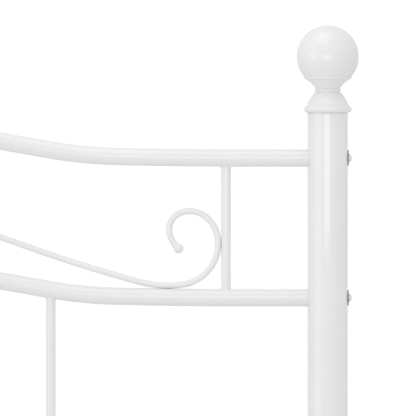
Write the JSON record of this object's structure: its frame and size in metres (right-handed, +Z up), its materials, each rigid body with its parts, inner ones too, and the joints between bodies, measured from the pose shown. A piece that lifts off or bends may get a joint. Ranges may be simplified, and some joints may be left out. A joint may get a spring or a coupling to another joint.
{
  "type": "daybed",
  "caption": "Metal daybed with round corner posts topped by ball finials, curved tubular rails, scroll work between spindles on the back and arms, and a slatted deck.",
  "frame": {"origin": "on the floor under the middle of the bed", "axes": "+X along the bed, +Y towards the back panel, +Z up"},
  "size_m": [2.1282, 1.0384, 0.9995],
  "materials": {
    "white_powder_coat": "gloss white powder coat on steel",
    "grey_plastic": "moulded light grey plastic",
    "blackened_washer": "grey phosphated steel, satin",
    "nickel_bolt": "bright nickel plate",
    "zinc_steel": "bright zinc plate"
  },
  "bodies": {
    "root": {"back_bottom_rail": "white_powder_coat", "back_deck_rail": "white_powder_coat", "back_lower_spindles": "white_powder_coat", "back_panel_bolts": "nickel_bolt", "back_panel_saddle_washers": "blackened_washer", "back_rail_threaded_inserts": "zinc_steel", "back_scroll_balls": "white_powder_coat", "back_scroll_left": "white_powder_coat", "back_scroll_right": "white_powder_coat", "back_second_rail": "white_powder_coat", "back_short_spindles": "white_powder_coat", "back_top_rail": "white_powder_coat", "centre_beam": "white_powder_coat", "centre_beam_end_caps": "grey_plastic", "centre_leg_glides": "grey_plastic", "centre_legs": "white_powder_coat", "deck_rail_bolts": "nickel_bolt", "deck_rail_end_blocks": "zinc_steel", "deck_rail_saddle_washers": "blackened_washer", "finial_balls": "white_powder_coat", "finial_bases": "white_powder_coat", "finial_nuts": "zinc_steel", "finial_screws": "zinc_steel", "front_deck_rail": "white_powder_coat", "front_left_post": "white_powder_coat", "front_right_post": "white_powder_coat", "left_arm_bottom_rail": "white_powder_coat", "left_arm_lower_spindles": "white_powder_coat", "left_arm_scroll_balls": "white_powder_coat", "left_arm_scrolls": "white_powder_coat", "left_arm_second_rail": "white_powder_coat", "left_arm_short_spindles": "white_powder_coat", "left_arm_top_rail": "white_powder_coat", "post_foot_plugs": "grey_plastic", "rear_left_post": "white_powder_coat", "rear_right_post": "white_powder_coat", "right_arm_bottom_rail": "white_powder_coat", "right_arm_lower_spindles": "white_powder_coat", "right_arm_scroll_balls": "white_powder_coat", "right_arm_scrolls": "white_powder_coat", "right_arm_second_rail": "white_powder_coat", "right_arm_short_spindles": "white_powder_coat", "right_arm_top_rail": "white_powder_coat", "slat_end_caps": "grey_plastic", "slat_screws": "zinc_steel", "slats": "white_powder_coat"}
  },
  "joints": []
}
